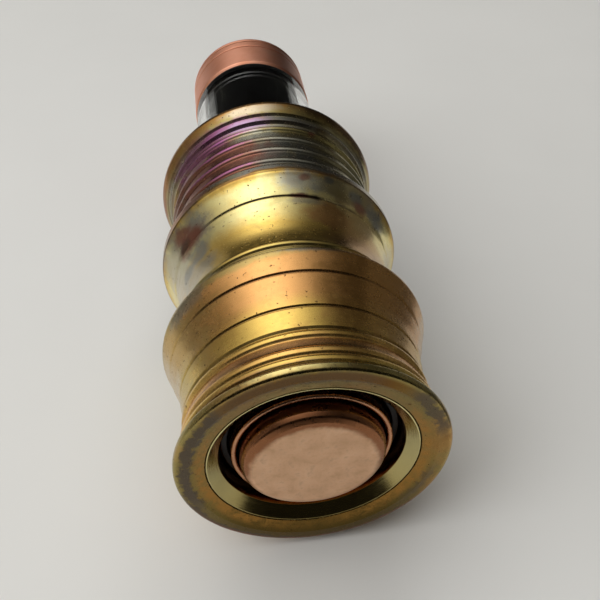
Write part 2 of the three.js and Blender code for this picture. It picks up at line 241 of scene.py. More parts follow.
class Wiring:
    """A node tree being wired. Its methods add nodes and give back what comes out of them."""

    def __init__(self, tree):
        self.tree = tree

    def node(self, kind, values, **properties):
        """Adds a node and gives back the node itself. A value may be another node's output."""
        made = self.tree.nodes.new(kind)
        for key, value in properties.items():
            setattr(made, key, value)
        for key, value in values.items():
            if isinstance(value, bpy.types.NodeSocket):
                self.tree.links.new(value, made.inputs[key])
            else:
                made.inputs[key].default_value = value
        return made

    def math(self, operation, a, b=0.0, c=0.0, clamp=False):
        made = self.node("ShaderNodeMath", {0: a, 1: b, 2: c}, operation=operation, use_clamp=clamp)
        return made.outputs[0]

    def remap(self, value, low, high, to_low=0.0, to_high=1.0):
        values = {
            "Value": value, "From Min": low, "From Max": high, "To Min": to_low, "To Max": to_high,
        }
        made = self.node("ShaderNodeMapRange", values, interpolation_type="SMOOTHSTEP")
        return made.outputs["Result"]

    def mix(self, factor, a, b, blend="MIX"):
        made = self.node(
            "ShaderNodeMix", {0: factor, 6: a, 7: b}, data_type="RGBA", blend_type=blend
        )
        return made.outputs[2]

    def split(self, vector):
        made = self.node("ShaderNodeSeparateXYZ", {0: vector})
        return made.outputs[0], made.outputs[1], made.outputs[2]

    def product(self, first, *others):
        for other in others:
            first = self.math("MULTIPLY", first, other)
        return first

    def apart(self, value, centre):
        """How far a value is from a centre, either way."""
        return self.math("ABSOLUTE", self.math("SUBTRACT", value, centre))

    def length(self, a, b):
        squares = self.math("MULTIPLY_ADD", a, a, self.math("MULTIPLY", b, b))
        return self.math("SQRT", squares)

    def turn(self, x, z):
        """Degrees round the axis from the top, positive towards +X."""
        return self.math("MULTIPLY", self.math("ARCTAN2", x, z), 180 / math.pi)

    def join(self, x, y, z):
        return self.node("ShaderNodeCombineXYZ", {0: x, 1: y, 2: z}).outputs[0]

    def noise(self, vector, scale, detail=3.0, roughness=0.5, distortion=0.0):
        values = {
            "Vector": vector, "Scale": scale, "Detail": detail, "Roughness": roughness,
            "Distortion": distortion,
        }
        return self.node("ShaderNodeTexNoise", values).outputs["Fac"]

    def ramp(self, value, stops):
        """Colours along a value. All places are set before any colour, as stops keep in order."""
        made = self.node("ShaderNodeValToRGB", {0: value})
        elements = made.color_ramp.elements
        while len(elements) < len(stops):
            elements.new(1.0)
        for element, (place, colour) in zip(elements, stops):
            element.position = place
        for element, (place, colour) in zip(elements, stops):
            element.color = (*colour, 1)
        return made.outputs[0]

    def bump(self, height, distance):
        values = {"Height": height, "Distance": distance, "Strength": 1.0}
        return self.node("ShaderNodeBump", values).outputs[0]


class Surface(Wiring):
    """The wiring of a new material. Settings are sockets of its shader, in lower case."""

    def __init__(self, name, **settings):
        self.material = bpy.data.materials.new(name)
        self.material.use_nodes = True
        super().__init__(self.material.node_tree)
        self.shader = self.tree.nodes["Principled BSDF"]
        for key, value in settings.items():
            socket = key.replace("_", " ").title().replace("Ior", "IOR")
            self.shader.inputs[socket].default_value = value

    def drive(self, socket, value):
        self.tree.links.new(value, self.shader.inputs[socket])

    def position(self):
        """Millimetres from the bell's centre: across, along the axis, up."""
        texture = self.node("ShaderNodeTexCoord", {}).outputs["Object"]
        values = {
            "Vector": texture,
            "Location": (0, -BELL_Y / MM, -AXIS_Z / MM),
            "Scale": (1 / MM, 1 / MM, 1 / MM),
        }
        return self.node("ShaderNodeMapping", values).outputs[0]


# Reflectances of brass as heat, oxide and dirt tint it; some are also laid on below as painted
# shade and painted highlights. LIP_SHADE is multiplied in; it and the last two are painted shade
# on the lip.
GOLD = (0.82, 0.56, 0.14)
YELLOW = (0.96, 0.84, 0.38)
ORANGE = (0.80, 0.42, 0.15)
PALE = (0.66, 0.57, 0.42)
ASH = (0.60, 0.60, 0.50)
OLIVE = (0.44, 0.37, 0.14)
BROWN = (0.42, 0.22, 0.06)
MAROON = (0.32, 0.12, 0.08)
PURPLE = (0.36, 0.13, 0.26)
VIOLET = (0.42, 0.32, 0.48)
GREY = (0.37, 0.36, 0.31)
SLATE = (0.23, 0.235, 0.205)
DARK = (0.10, 0.055, 0.03)
MAGENTA = (0.48, 0.17, 0.40)
STAIN = (0.10, 0.077, 0.055)
RUSSET = (0.40, 0.20, 0.045)
LIP_SHADE = (0.56, 0.50, 0.38)
PAINTED_LOW_SHADE = (0.10, 0.062, 0.014)
PAINTED_TOP_SHADE = (0.16, 0.07, 0.012)


def turning_marks(surface, vector, place, radius):
    """The fine circular marks that a lathe tool leaves, as a height."""
    marks_per_mm = 5.0
    drift = surface.noise(vector, 0.25, 2.0)
    lines = surface.join(
        surface.math("MULTIPLY", place, marks_per_mm),
        surface.math("MULTIPLY", radius, marks_per_mm),
        surface.math("MULTIPLY", drift, 1.2),
    )
    return surface.noise(lines, 1.0, 4.0, 0.65)


def heat_tinted(
    name, length, base_stops, patches, mottle, valleys, roughness=0.26, ring_marks_and_shade=None
):
    """Turned brass with heat tints: stops along the axis, then mottling, patches and specks.

    length is where the stops start and end along the axis. The mottling is two rows of
    (colour, least cloud, full cloud, amount), a broad one and a finer one. A patch is (colour,
    place, angle, half length, half angle, amount), with the place in millimetres along the axis
    and the angle in degrees from the top, positive towards +X; some patches are painted shade
    and painted highlights. A valley is (place, half width, amount), where the colour darkens
    towards DARK along a groove or between beads as painted shade. The last argument, if given,
    adds the stains and painted shade that only one ring has."""
    surface = Surface(name, metallic=1.0)
    vector = surface.position()
    x, place, z = surface.split(vector)
    angle = surface.turn(x, z)
    radius = surface.length(x, z)
    wander = surface.noise(vector, 0.16, 4.0, 0.6)
    shifted = surface.math("ADD", place, surface.math("MULTIPLY_ADD", wander, 3.0, -1.5))
    start, end = length
    share = surface.math("DIVIDE", surface.math("SUBTRACT", shifted, start), end - start, clamp=True)
    colour = surface.ramp(share, base_stops)
    clouds = [surface.noise(vector, 0.11, 5.0, 0.62, 0.4), surface.noise(vector, 0.2, 5.0, 0.6, 0.5)]
    for cloud, (tint, low, high, amount) in zip(clouds, mottle):
        colour = surface.mix(surface.remap(cloud, low, high, 0.0, amount), colour, (*tint, 1))
    ragged = surface.math("MULTIPLY_ADD", surface.noise(vector, 0.45, 5.0, 0.65), 1.5, -0.75)
    for tint, centre, turn, half_length, half_angle, amount in patches:
        by_place = surface.math("DIVIDE", surface.math("SUBTRACT", place, centre), half_length)
        by_angle = surface.math("DIVIDE", surface.math("SUBTRACT", angle, turn), half_angle)
        edge = surface.math("ADD", surface.length(by_place, by_angle), ragged)
        colour = surface.mix(surface.remap(edge, 0.45, 1.25, amount, 0.0), colour, (*tint, 1))
    specks = surface.noise(vector, 2.2, 2.0, 0.5)
    pits = surface.remap(specks, 0.66, 0.74, 0.0, 1.0)
    colour = surface.mix(surface.math("MULTIPLY", pits, 0.75), colour, (*DARK, 1))
    bloom = surface.noise(vector, 0.9, 5.0, 0.7)
    colour = surface.mix(surface.remap(bloom, 0.4, 0.8, 0.0, 0.2), colour, (*BROWN, 1))
    # Painted shade: the colour darkens towards DARK along each valley.
    for centre, half, amount in valleys:
        groove_shade = surface.remap(surface.apart(place, centre), half * 0.4, half * 1.3, amount, 0.0)
        colour = surface.mix(groove_shade, colour, (*DARK, 1))
    if ring_marks_and_shade is not None:
        colour = ring_marks_and_shade(surface, vector, place, angle, radius, colour)
    surface.drive("Base Color", colour)
    marks = turning_marks(surface, vector, place, radius)
    rough = surface.math("MULTIPLY_ADD", bloom, 0.2, roughness - 0.1)
    rough = surface.math("MULTIPLY_ADD", pits, 0.25, rough)
    rough = surface.math("MULTIPLY_ADD", marks, 0.10, surface.math("SUBTRACT", rough, 0.05))
    surface.drive("Roughness", rough)
    relief = surface.math("SUBTRACT", surface.math("MULTIPLY", marks, 0.35), pits)
    surface.drive("Normal", surface.bump(relief, 0.005 * MM))
    return surface.material


def plain_metal(name, colour, other, roughness, marks_depth=0.012, painted_shade=None, deep=None):
    """Turned metal with one tone drifting a little towards another.

    patina is (colour, angle, half angle, amount): painted shade, that colour round that angle from
    the top. deep is (colour, radius, place): painted shade, the metal has that colour inside that
    radius, behind that place."""
    surface = Surface(name, metallic=1.0)
    vector = surface.position()
    x, place, z = surface.split(vector)
    radius = surface.length(x, z)
    cloud = surface.noise(vector, 0.22, 5.0, 0.6, 0.3)
    tint = surface.mix(surface.remap(cloud, 0.3, 0.72), (*colour, 1), (*other, 1))
    # Painted shade: a colour laid round an angle from the top, and another inside a bore.
    if painted_shade is not None:
        stain_and_shade, centre, half, amount = painted_shade
        off = surface.math("SUBTRACT", surface.turn(x, z), centre)
        off = surface.math("ABSOLUTE", surface.math("WRAP", off, 180.0, -180.0))
        off = surface.math("MULTIPLY_ADD", cloud, half * 0.4, off)
        tint = surface.mix(surface.remap(off, half * 0.4, half * 1.3, amount, 0.0), tint, (*stain_and_shade, 1))
    if deep is not None:
        stain_and_shade, inner, front = deep
        inside = surface.product(
            surface.remap(radius, inner - 0.08, inner + 0.08, 1.0, 0.0),
            surface.remap(place, front - 0.1, front + 0.3),
        )
        tint = surface.mix(inside, tint, (*stain_and_shade, 1))
    surface.drive("Base Color", tint)
    marks = turning_marks(surface, vector, place, radius)
    haze = surface.noise(vector, 1.1, 4.0, 0.65)
    rough = surface.math("MULTIPLY_ADD", haze, 0.16, roughness - 0.08)
    surface.drive("Roughness", surface.math("MULTIPLY_ADD", marks, 0.08, rough))
    surface.drive("Normal", surface.bump(marks, marks_depth * MM))
    return surface.material


def copper_face(name):
    """Copper with a matt, softly mottled face and a dark, smoother shoulder and side, their dark
    colour partly painted shade.
    """
    surface = Surface(name)
    vector = surface.position()
    x, place, z = surface.split(vector)
    radius = surface.length(x, z)
    wander = surface.noise(vector, 0.6, 3.0, 0.6)
    # The shoulder's edge wanders a little, and lies nearer the centre at the top, so that its dark
    # colour spreads over the top of the face as painted shade.
    edge = surface.math("ADD", wander, surface.math("SUBTRACT", radius, 0.5))
    side = surface.remap(surface.math("MULTIPLY_ADD", z, 0.14, edge), 7.1, 8.1)
    broad = surface.noise(vector, 0.45, 5.0, 0.6)
    fine = surface.noise(vector, 0.9, 5.0, 0.6)
    face = surface.ramp(
        broad, [(0.35, (0.74, 0.44, 0.25)), (0.5, (0.84, 0.52, 0.31)), (0.68, (0.92, 0.60, 0.38))]
    )
    face = surface.mix(surface.remap(fine, 0.5, 0.74, 0.0, 0.6), face, (0.60, 0.33, 0.18, 1))
    # The dark shoulder and side colour is partly painted shade.
    surface.drive("Base Color", surface.mix(side, face, (0.30, 0.125, 0.055, 1)))
    surface.drive("Metallic", surface.remap(side, 0.0, 1.0, 0.55, 1.0))
    matt = surface.remap(fine, 0.3, 0.75, 0.56, 0.48)
    surface.drive("Roughness", surface.math("MULTIPLY_ADD", side, -0.24, matt))
    relief = surface.math("MULTIPLY_ADD", broad, 1.5, fine)
    relief = surface.math("MULTIPLY", relief, surface.math("SUBTRACT", 1.0, side))
    surface.drive("Normal", surface.bump(relief, 0.03 * MM))
    return surface.material


def black_gloss(name):
    """Polished black with a few specks, and lighter streaks on its flanks as painted reflection."""
    surface = Surface(name, metallic=0.0)
    surface.shader.inputs["Specular IOR Level"].default_value = 0.12
    vector = surface.position()
    haze = surface.noise(vector, 0.5, 5.0, 0.65)
    specks = surface.remap(surface.noise(vector, 3.2, 2.0, 0.5), 0.74, 0.8)
    x, place, z = surface.split(vector)
    angle = surface.turn(x, z)
    # Painted reflection: lighter streaks along the flanks, none near the top.
    run = surface.join(
        surface.math("MULTIPLY", angle, 0.16), surface.math("MULTIPLY", place, 0.12), 0.0
    )
    flank_reflection = surface.remap(surface.noise(run, 1.0, 3.0, 0.6, 0.3), 0.5, 0.62)
    beside = surface.remap(surface.apart(angle, -5.0), 18.0, 40.0)
    flank_reflection = surface.math("MULTIPLY", flank_reflection, beside)
    black = surface.mix(flank_reflection, (0.0015, 0.0015, 0.002, 1), (0.03, 0.032, 0.024, 1))
    colour = surface.mix(specks, black, (0.07, 0.065, 0.06, 1))
    surface.drive("Base Color", colour)
    surface.drive("Roughness", surface.remap(haze, 0.3, 0.75, 0.02, 0.05))
    surface.drive("Normal", surface.bump(specks, 0.01 * MM))
    return surface.material


def black_plastic(name, roughness=0.42):
    surface = Surface(name, metallic=0.0)
    vector = surface.position()
    grain = surface.noise(vector, 4.0, 4.0, 0.6)
    colour = surface.mix(
        surface.remap(grain, 0.3, 0.7), (0.006, 0.006, 0.0065, 1), (0.014, 0.0135, 0.013, 1)
    )
    surface.shader.inputs["Specular IOR Level"].default_value = 0.25
    surface.drive("Base Color", colour)
    surface.drive("Roughness", surface.remap(grain, 0.3, 0.7, roughness - 0.06, roughness + 0.08))
    surface.drive("Normal", surface.bump(grain, 0.01 * MM))
    return surface.material


def clear_tube(name):
    surface = Surface(name, metallic=0.0, transmission_weight=1.0, ior=1.22)
    surface.shader.inputs["Base Color"].default_value = (0.96, 0.97, 0.965, 1)
    vector = surface.position()
    haze = surface.noise(vector, 0.6, 4.0, 0.6)
    surface.drive("Roughness", surface.remap(haze, 0.4, 0.8, 0.0, 0.015))
    return surface.material


def rubber(name):
    surface = Surface(name, metallic=0.0)
    vector = surface.position()
    grain = surface.noise(vector, 3.0, 4.0, 0.6)
    colour = surface.mix(grain, (0.014, 0.013, 0.012, 1), (0.03, 0.028, 0.027, 1))
    surface.drive("Base Color", colour)
    surface.drive("Roughness", surface.remap(grain, 0.3, 0.7, 0.55, 0.72))
    surface.drive("Normal", surface.bump(grain, 0.01 * MM))
    return surface.material


def cell_wrap(name):
    surface = Surface(name, metallic=0.0, coat_weight=0.4, coat_roughness=0.12)
    vector = surface.position()
    grain = surface.noise(vector, 0.4, 4.0, 0.6)
    colour = surface.mix(grain, (0.16, 0.02, 0.16, 1), (0.26, 0.045, 0.25, 1))
    surface.drive("Base Color", colour)
    surface.drive("Roughness", surface.remap(grain, 0.3, 0.7, 0.3, 0.45))
    surface.drive("Normal", surface.bump(grain, 0.02 * MM))
    return surface.material


def cotton(name):
    surface = Surface(name, metallic=0.0, sheen_weight=0.4)
    vector = surface.position()
    fibres = surface.noise(vector, 5.0, 8.0, 0.75)
    colour = surface.mix(fibres, (0.72, 0.66, 0.55, 1), (0.92, 0.90, 0.85, 1))
    surface.drive("Base Color", colour)
    surface.drive("Roughness", surface.remap(fibres, 0.2, 0.8, 0.85, 1.0))
    surface.drive("Normal", surface.bump(fibres, 0.12 * MM))
    return surface.material


# ---------------------------------------------------------------- materials of this object

# Each row: angles where it starts, is full, fades and ends, then its radius, reach and amount.
LIP_STAINS = [
    (-125.0, -105.0, -48.0, -38.0, 15.1, 1.0, 0.95),
    (-180.0, -165.0, -112.0, -95.0, 16.1, 0.7, 0.9),
    (-45.0, -38.0, 20.0, 35.0, 15.3, 1.3, 0.45),
    (38.0, 50.0, 70.0, 84.0, 15.4, 1.1, 0.85),
    (95.0, 110.0, 120.0, 140.0, 14.8, 0.8, 0.55),
    (120.0, 140.0, 170.0, 180.0, 16.2, 0.6, 0.8),
]


def lip_stains_and_shade(surface, vector, place, angle, radius, colour):
    """The bell's flat lip: painted shade that darkens it, more so and browner at its bottom and top,
    then an orange tint near the opening, the dark stains and a maroon line at the outer edge towards
    the bottom."""
    face = surface.remap(place, 0.5, 1.0, 1.0, 0.0)
    blot = surface.noise(vector, 0.75, 5.0, 0.7, 0.4)
    from_top = surface.math("ABSOLUTE", angle)
    low = surface.remap(from_top, 98.0, 150.0, 0.0, 0.88)

    # Painted shade: the face darker all over, less so at its outer edge, and dark brown at its bottom
    # and at its top.
    painted_lip_shade = surface.product(face, surface.remap(radius, 15.6, 16.3, 1.0, 0.45))
    colour = surface.mix(painted_lip_shade, colour, (*LIP_SHADE, 1), "MULTIPLY")
    colour = surface.mix(surface.product(low, face), colour, (*PAINTED_LOW_SHADE, 1))

    top = surface.remap(surface.apart(angle, -2.0), 30.0, 60.0, 0.92, 0.0)
    ring = surface.remap(surface.apart(radius, 15.2), 0.3, 1.0, 1.0, 0.0)
    colour = surface.mix(surface.product(top, ring, face), colour, (*PAINTED_TOP_SHADE, 1))

    inside = surface.remap(radius, 13.5, 14.5, 1.0, 0.0)
    spread = surface.remap(blot, 0.32, 0.6, 0.1, 0.9)
    flanks = surface.remap(surface.apart(from_top, 108.0), 30.0, 70.0, 1.0, 0.3)
    colour = surface.mix(surface.product(inside, spread, flanks, face), colour, (*RUSSET, 1))

    for start, rise, fall, end, middle, reach, amount in LIP_STAINS:
        run = surface.product(
            surface.remap(angle, start, rise), surface.remap(angle, fall, end, 1.0, 0.0)
        )
        off = surface.apart(radius, middle)
        band = surface.math("MULTIPLY_ADD", blot, 3.0, surface.math("DIVIDE", off, -reach))
        stain_and_shade = surface.remap(band, 0.5, 1.15, 0.0, amount)
        colour = surface.mix(surface.product(stain_and_shade, run, face), colour, (*STAIN, 1))

    edge = surface.product(
        surface.remap(radius, 15.7, 16.2), face, surface.remap(blot, 0.35, 0.6, 0.3, 1.0), low
    )
    return surface.mix(edge, colour, (*MAROON, 1))


lower_tint = heat_tinted(
    "lower_ring_tint",
    (0.0, 18.7),
    [
        (0.0, OLIVE), (0.08, OLIVE), (0.11, GOLD), (0.28, ORANGE), (0.36, GOLD), (0.55, GOLD),
        (0.7, ORANGE), (0.93, ORANGE), (1.0, BROWN),
    ],
    [
        (OLIVE, 14.0, -78.0, 9.0, 42.0, 0.6),
        (OLIVE, 18.2, -30.0, 0.9, 40.0, 0.7),
        (GREY, 17.6, -52.0, 1.2, 14.0, 0.6),
        (SLATE, 18.4, 6.0, 0.5, 14.0, 0.7),
        # painted shade: the right side of the ring darker
        (BROWN, 13.0, 42.0, 9.0, 36.0, 0.75),
        (BROWN, 12.5, -42.0, 6.0, 18.0, 0.45),
        (PALE, 13.0, -92.0, 7.0, 16.0, 0.5),
        (PALE, 15.0, 88.0, 7.0, 22.0, 0.6),
        (MAROON, 1.7, -30.0, 0.6, 50.0, 0.5),
        # painted highlight along the top of the lip's outer edge
        (YELLOW, 0.8, -10.0, 0.6, 20.0, 0.7),
        (MAROON, 5.4, -20.0, 0.9, 40.0, 0.35),
    ],
    [(ORANGE, 0.45, 0.7, 0.5), (BROWN, 0.55, 0.72, 0.4)],
    [(3.15, 0.4, 0.4), (4.75, 0.4, 0.45), (7.5, 0.25, 0.5), (10.7, 0.2, 0.55), (15.4, 0.2, 0.55)],
    ring_marks_and_shade=lip_stains_and_shade,
)
middle_tint = heat_tinted(
    "middle_ring_tint",
    (18.9, 37.3),
    [
        (0.0, OLIVE), (0.15, OLIVE), (0.24, GOLD), (0.48, GOLD), (0.62, YELLOW), (0.86, YELLOW),
        (0.9, GOLD), (0.93, BROWN), (0.96, GREY), (1.0, GREY),
    ],
    [
        (GREY, 34.4, 38.0, 1.9, 26.0, 0.85),
        (ASH, 34.3, 10.0, 1.5, 14.0, 0.75),
        (GREY, 25.5, -56.0, 3.2, 18.0, 0.75),
        # painted shade on the right side
        (BROWN, 24.5, 40.0, 3.0, 22.0, 0.8),
        (BROWN, 36.5, -66.0, 1.2, 30.0, 0.9),
        (STAIN, 36.4, -44.0, 0.7, 14.0, 0.6),
        (GREY, 31.5, -72.0, 6.0, 20.0, 0.75),
        (ORANGE, 29.5, 24.0, 2.6, 15.0, 0.85),
        # painted shade: the right side of the ring darker
        (BROWN, 27.0, 42.0, 9.0, 22.0, 0.7),
        (GREY, 34.8, 7.0, 1.2, 6.0, 0.6),
        (GREY, 31.4, 12.0, 0.7, 9.0, 0.6),
        (GREY, 33.0, -48.0, 2.8, 12.0, 0.9),
        (GREY, 29.2, -50.0, 2.0, 9.0, 0.85),
        (OLIVE, 34.4, 34.0, 1.6, 16.0, 0.6),
        (SLATE, 34.4, 40.0, 0.8, 5.0, 0.8),
        (SLATE, 33.8, 56.0, 1.5, 9.0, 0.8),
        (SLATE, 35.2, 24.0, 0.5, 3.0, 0.8),
        (MAROON, 34.9, 12.0, 0.5, 3.5, 0.7),
        (STAIN, 32.2, 13.0, 0.5, 9.0, 0.95),
        (STAIN, 32.2, 36.0, 0.4, 14.0, 0.7),
        (MAROON, 32.2, 10.0, 0.4, 6.0, 0.7),
        (MAROON, 32.4, -54.0, 1.7, 13.0, 0.95),
        (STAIN, 32.8, -60.0, 0.9, 6.0, 0.7),
        (SLATE, 20.6, 2.0, 0.7, 30.0, 0.55),
        (GREY, 20.8, -40.0, 1.4, 24.0, 0.6),
        (PALE, 28.0, -84.0, 7.0, 14.0, 0.5),
        (MAROON, 34.2, -57.0, 1.0, 8.0, 0.85),
        (SLATE, 28.4, -63.0, 1.3, 6.0, 0.7),
        (PALE, 27.0, 84.0, 9.0, 16.0, 0.7),
        (MAROON, 36.6, -50.0, 0.8, 22.0, 0.6),
        (MAROON, 33.2, 44.0, 0.9, 6.0, 0.75),
        (GREY, 36.6, 60.0, 0.9, 60.0, 0.6),
    ],
    [(GOLD, 0.5, 0.75, 0.4), (OLIVE, 0.58, 0.75, 0.4)],
    [(21.75, 0.2, 0.5), (23.05, 0.25, 0.5), (32.2, 0.2, 0.35), (35.75, 0.14, 0.6)],
    roughness=0.22,
)
upper_tint = heat_tinted(
    "upper_ring_tint",
    (37.5, 55.4),
    [
        (0.0, GREY), (0.12, BROWN), (0.17, SLATE), (0.5, SLATE), (0.72, OLIVE), (0.83, GREY),
        (0.88, OLIVE), (0.93, BROWN), (1.0, BROWN),
    ],
    [
        (BROWN, 39.5, -40.0, 1.8, 40.0, 0.6),
        (MAROON, 44.0, -36.0, 6.5, 36.0, 0.9),
        (MAROON, 46.0, -74.0, 6.0, 18.0, 0.55),
        (PURPLE, 50.8, -44.0, 3.0, 24.0, 0.85),
        (PURPLE, 52.0, -16.0, 1.3, 22.0, 0.9),
        (MAGENTA, 52.3, -30.0, 0.6, 14.0, 0.7),
        (MAGENTA, 41.3, -24.0, 0.5, 18.0, 0.7),
        (MAGENTA, 44.3, -34.0, 0.5, 20.0, 0.75),
        (MAGENTA, 47.3, -30.0, 0.5, 22.0, 0.75),
        (MAGENTA, 50.3, -22.0, 0.5, 24.0, 0.8),
        # these five are painted highlights on the beads
        (ASH, 48.8, -6.0, 1.4, 14.0, 0.8),
        (ASH, 51.0, 8.0, 0.5, 26.0, 0.75),
        (ASH, 47.3, 16.0, 0.5, 26.0, 0.75),
        (ASH, 44.3, 12.0, 0.5, 22.0, 0.7),
        (ASH, 41.3, 10.0, 0.45, 20.0, 0.6),
        (VIOLET, 51.8, -12.0, 1.0, 16.0, 0.7),
        (MAROON, 54.6, -78.0, 1.6, 30.0, 0.7),
        (SLATE, 52.3, 14.0, 0.7, 20.0, 0.7),
        (STAIN, 50.6, 22.0, 0.7, 4.0, 0.9),
        (STAIN, 51.6, 32.0, 0.7, 5.0, 0.9),
        (MAROON, 50.0, 25.0, 0.6, 3.0, 0.9),
        (MAROON, 47.4, 36.0, 0.5, 3.0, 0.8),
        (OLIVE, 46.0, 44.0, 8.0, 24.0, 0.5),
        (PALE, 53.9, -6.0, 0.8, 18.0, 0.8),
        (BROWN, 54.0, -52.0, 1.3, 28.0, 0.7),
        (OLIVE, 53.8, 26.0, 0.9, 24.0, 0.6),
        # painted shade on the right side of the rim
        (DARK, 54.5, 46.0, 1.5, 38.0, 0.85),
        (SLATE, 41.0, -80.0, 6.0, 14.0, 0.6),
    ],
    [(OLIVE, 0.5, 0.75, 0.4), (DARK, 0.55, 0.8, 0.4)],
    [
        (39.9, 0.25, 0.6), (42.0, 0.3, 0.5), (45.0, 0.3, 0.5), (48.0, 0.3, 0.5), (51.0, 0.25, 0.45),
        (51.8, 0.15, 0.4), (53.0, 0.15, 0.4), (55.35, 0.4, 0.85),
    ],
    roughness=0.24,
)
brass = plain_metal("bare_brass", (0.70, 0.62, 0.34), (0.58, 0.50, 0.26), 0.15)
# Painted shade: darker round 46 degrees to the right of the top.
copper = plain_metal(
    "satin_copper", (1.0, 0.49, 0.33), (0.9, 0.39, 0.24), 0.4, 0.006,
    painted_shade=((0.2, 0.07, 0.04), 46.0, 32.0, 0.7),
)
# Painted shade: darker towards the bottom and inside the bore.
cup_brass = plain_metal(
    "cup_brass", (0.76, 0.67, 0.32), (0.62, 0.53, 0.24), 0.15,
    painted_shade=((0.28, 0.20, 0.055), 180.0, 105.0, 0.9), deep=((0.42, 0.18, 0.035), 11.3, 1.9),
)
# Painted shade: darker inside the bore.
bush_copper = plain_metal(
    "bush_copper", (0.62, 0.32, 0.18), (0.46, 0.22, 0.12), 0.22, deep=((0.34, 0.14, 0.08), 9.2, 2.3)
)
steel = plain_metal("turned_steel", (0.60, 0.60, 0.61), (0.48, 0.48, 0.49), 0.24)
button_copper = copper_face("button_copper")
plastic = black_plastic("black_plastic")
shell_black = black_gloss("black_gloss")
tip_black = black_plastic("mouthpiece_black", 0.24)
glass = clear_tube("clear_tube")
seal_black = rubber("seal_rubber")
wrap = cell_wrap("cell_wrap")
wool = cotton("cotton")

# ---------------------------------------------------------------- the brass rings

BELL = 16.5  # radius of the flared end
HOUSING_START = along("switch_housing")[0]

lower_outline = [
    (14.7, 0.0, 0.3),
    (BELL - 0.1, 0.0, 0.45),
    (BELL, 0.9, 0.35),
    (15.6, 1.45, 0.2),
    *bead(2.35, 0.85, 15.5, 0.38),
    *bead(3.9, 0.9, 15.2, 0.38),
    (15.15, 4.8, 0.3),
    (15.0, 5.9, 0.3),
    *bead(6.6, 0.8, 15.0, 0.34),
    (14.85, 7.4, 0.12),
    (15.15, 7.75, 0.2),
    *curve((15.17, 8.0), (15.25, 9.0), (15.42, 10.2)),
    *groove(10.7, 0.27, 15.46, 0.24),
    *curve((15.5, 11.15), (15.75, 12.6), (16.15, 13.9), (16.5, 14.95)),
    *groove(15.4, 0.27, 16.6, 0.26),
    *curve((16.72, 15.9), (17.15, 17.0), (17.5, 17.85)),
    (RIM, 18.1, 0.25),
    (RIM, 18.7, 0.3),
    (11.5, 18.7),
    (11.5, 6.6),
    (13.0, 6.6),
    (13.0, HOUSING_START + 0.1, 0),
    (12.75, HOUSING_START, 0.05),
]
turned(
    "lower_ring_brass", lower_outline, "switch_end", lower_tint, "heat_tinted_brass", "lower_ring",
    sides=160,
)

middle_outline = [
    (15.3, 18.9, 0.25),
    (15.25, 21.7, 0.2),
    *bead(22.4, 0.7, 15.25, 0.36),
    *curve((15.2, 23.2), (15.0, 24.8), (14.93, 26.4), (15.0, 28.2), (15.22, 29.9), (15.55, 31.5)),
    *groove(32.2, 0.28, 15.72, 0.26),
    *curve((15.9, 32.75), (16.35, 33.9), (16.95, 34.9), (17.4, 35.5)),
    (RIM, 35.85, 0.3),
    (RIM, 37.3, 0.25),
    (11.5, 37.3),
    (11.5, 18.9),
]
turned(
    "middle_ring_brass", middle_outline, "body", middle_tint, "heat_tinted_brass", "middle_ring",
    sides=160,
)

upper_beads = [item for i in range(4) for item in bead(41.2 + 3 * i, 0.8, 15.6, 0.38)]
upper_outline = [
    (15.9, 37.5, 0.2),
    (15.9, 39.4, 0.25),
    (15.65, 39.8, 0.15),
    *upper_beads,
    (15.72, 51.5, 0.2),
    (16.3, 51.95, 0.25),
    (16.42, 52.7, 0.2),
    (16.85, 53.05, 0.2),
    (17.35, 53.9, 0.5),
    (RIM, 54.5, 0.3),
    (RIM, 55.4, 0.35),
    (13.0, 55.4, 0.2),
    (13.0, 52.4),
    (11.5, 52.4),
    (11.5, 37.5),
]
turned(
    "upper_ring_brass", upper_outline, "body", upper_tint, "heat_tinted_brass", "upper_ring",
    sides=160,
)

# ---------------------------------------------------------------- the button end

housing_outline = [
    (12.7, HOUSING_START, 0.05),
    (12.7, 6.2),
    (11.2, 6.2),
    (11.2, 8.2),
    (9.3, 8.2),
    (9.3, 12.4),
    (6.5, 12.4),
    (6.5, 10.2),
    (2.2, 10.2),
    (2.2, 8.0),
    (11.1, 8.0),
    (11.1, 2.5, 0.2),
    (11.25, 1.9, 0.2),
    (12.55, HOUSING_START, 0.08),
]
turned("switch_cup", housing_outline, "switch_end", cup_brass, "plain_brass", "switch_housing")

insulator_outline = [
    (10.8, 4.0),
    (10.8, 7.7),
    (2.2, 7.7),
    (2.2, 6.9),
    (10.05, 6.9),
    (10.05, 4.0),
]
turned(
    "switch_sleeve", insulator_outline, "switch_end", plastic, "black_plastic", "switch_insulator"
)
bush = along("button_bush")
turned(
    "copper_bush", sleeve(9.05, 9.75, *bush, edge=0.33), "switch_end", bush_copper, "copper",
    "button_bush",
)

BUTTON_FACE = along("fire_button")[0]
button_outline = [
    (0, BUTTON_FACE),
    (7.5, BUTTON_FACE, 0.6),
    (8.3, BUTTON_FACE + 0.28, 0.5),
    (8.66, BUTTON_FACE + 0.85, 0.5),
    (8.75, BUTTON_FACE + 1.6, 0.5),
    (8.75, 4.6),
    (7.2, 4.6),
    (7.2, 2.6),
    (3.0, 2.6),
    (3.0, 4.6),
    (1.9, 4.6),
    (1.9, 3.0),
    (0, 3.0),
]
turned("copper_button", button_outline, "button", button_copper, "copper", "fire_button")


